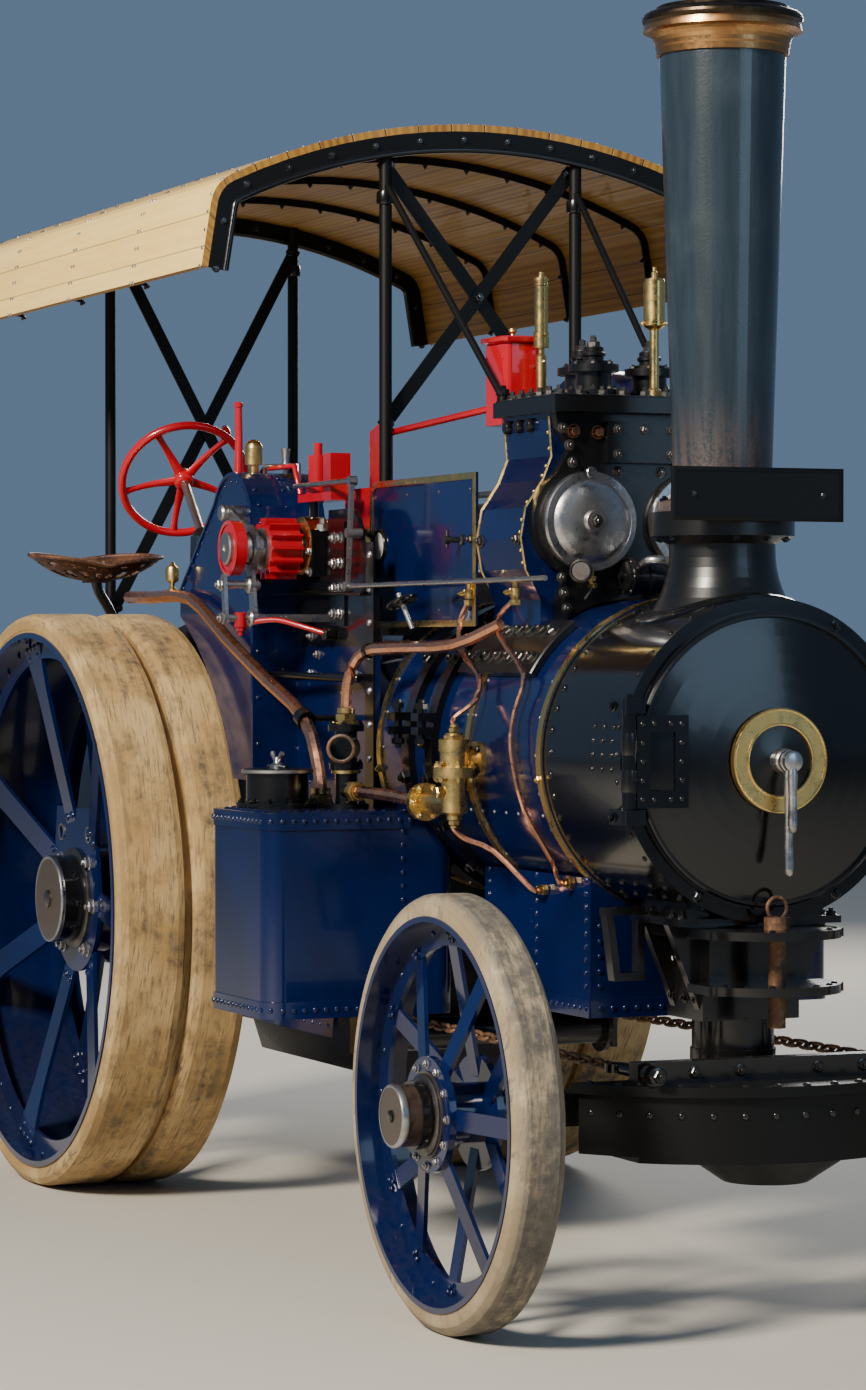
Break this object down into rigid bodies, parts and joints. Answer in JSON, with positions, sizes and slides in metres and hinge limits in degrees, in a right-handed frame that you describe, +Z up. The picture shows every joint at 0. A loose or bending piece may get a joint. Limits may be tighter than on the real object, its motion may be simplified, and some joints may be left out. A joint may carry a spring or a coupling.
{
  "type": "steam traction engine",
  "caption": "Steam traction engine with a wooden canopy, tall chimney, side water tanks, rubber-shod steel wheels, chain steering and a rear coal tender.",
  "frame": {"origin": "on the ground, under the middle of the machine's length and width", "axes": "+X forward along the machine, +Y to its left, +Z up"},
  "size_m": [5.454, 2.07, 3.653],
  "materials": {
    "navy_paint": "gloss coach enamel",
    "tyre_rubber": "dusty rubber",
    "bare_steel": "oiled bright steel",
    "black_paint": "gloss black enamel",
    "chimney_paint": "weathered heat-proof paint",
    "copper": "dulled copper",
    "brass": "polished brass",
    "red_paint": "gloss red enamel",
    "roof_wood": "varnished pine boards",
    "floor_wood": "worn hardwood",
    "rusty_iron": "rusty cast iron"
  },
  "bodies": {
    "chassis": {"perch_bracket": "black_paint", "drawbar_jaw": "black_paint", "drawbar_pin": "rusty_iron", "boiler_barrel": "navy_paint", "boiler_bands": "brass", "clamp_bands": "black_paint", "smokebox": "black_paint", "chimney_base": "black_paint", "chimney_stack": "chimney_paint", "chimney_cap": "copper", "number_plate": "black_paint", "belly_tank": "navy_paint", "side_tanks": "navy_paint", "water_lifter": "black_paint", "firebox": "black_paint", "hornplates": "navy_paint", "motion_covers": "navy_paint", "slide_bars": "bare_steel", "cylinder_block": "black_paint", "cylinder_cladding": "navy_paint", "cylinder_covers": "bare_steel", "safety_valves": "black_paint", "brass_fittings": "brass", "gear_cover": "navy_paint", "gear_levers": "bare_steel", "tender": "navy_paint", "footplate": "floor_wood", "seat": "rusty_iron", "steering_column": "black_paint", "chain_barrel": "black_paint", "steering_chains": "bare_steel", "canopy_roof": "roof_wood", "canopy_arches": "black_paint", "canopy_posts": "black_paint", "canopy_braces": "black_paint", "copper_pipes": "copper", "rear_drawbar": "black_paint", "clack_valve": "brass", "red_fittings": "red_paint", "drain_rod": "bare_steel"},
    "rear_right": {"rear_wheel_right": "navy_paint", "rear_tyre_right": "tyre_rubber"},
    "rear_left": {"rear_wheel_left": "navy_paint", "rear_tyre_left": "tyre_rubber", "rear_axle": "bare_steel", "axle_gear": "bare_steel"},
    "fore_carriage": {"front_axle": "black_paint", "axle_apron": "black_paint", "steering_bar": "black_paint"},
    "front_right": {"front_wheel_right": "navy_paint", "front_tyre_right": "tyre_rubber"},
    "front_left": {"front_wheel_left": "navy_paint", "front_tyre_left": "tyre_rubber"},
    "smoke_door": {"smokebox_door": "black_paint", "door_handle": "brass"},
    "fire_hatch": {"fire_door": "black_paint"},
    "crank": {"crankshaft": "bare_steel", "flywheel": "navy_paint", "crank_pinion": "red_paint"},
    "helm": {"steering_wheel": "red_paint"}
  },
  "joints": [
    {"name": "rear_right_spin", "type": "hinge", "parent": "chassis", "child": "rear_right", "pos_m": [-1.267, -0.7615, 0.99], "axis": [0, 1, 0], "continuous": true},
    {"name": "rear_left_spin", "type": "hinge", "parent": "chassis", "child": "rear_left", "pos_m": [-1.267, 0.7615, 0.99], "axis": [0, 1, 0], "continuous": true},
    {"name": "front_steer", "type": "hinge", "parent": "chassis", "child": "fore_carriage", "pos_m": [2.13, 0, 0.597], "axis": [0, 0, 1], "range_deg": [-30, 30], "deforming": ["steering_chains"]},
    {"name": "front_right_spin", "type": "hinge", "parent": "fore_carriage", "child": "front_right", "pos_m": [2.13, -0.849, 0.597], "axis": [0, 1, 0], "continuous": true},
    {"name": "front_left_spin", "type": "hinge", "parent": "fore_carriage", "child": "front_left", "pos_m": [2.13, 0.849, 0.597], "axis": [0, 1, 0], "continuous": true},
    {"name": "smoke_door_swing", "type": "hinge", "parent": "chassis", "child": "smoke_door", "pos_m": [2.361, -0.434, 1.552], "axis": [0, 0, -1], "range_deg": [0, 95]},
    {"name": "fire_hatch_swing", "type": "hinge", "parent": "chassis", "child": "fire_hatch", "pos_m": [-1.057, 0.211, 1.4], "axis": [0, 0, -1], "range_deg": [0, 100]},
    {"name": "crank_spin", "type": "hinge", "parent": "chassis", "child": "crank", "pos_m": [0.033, 0, 2.18], "axis": [0, 1, 0], "continuous": true},
    {"name": "helm_spin", "type": "hinge", "parent": "chassis", "child": "helm", "pos_m": [-1.373, -0.38, 2.46], "axis": [0.8305, -0.1167, -0.5446], "range_deg": [-600, 600]}
  ],
  "couplings": [
    {"joint": "helm_spin", "follows": "front_steer", "ratio": -20}
  ]
}
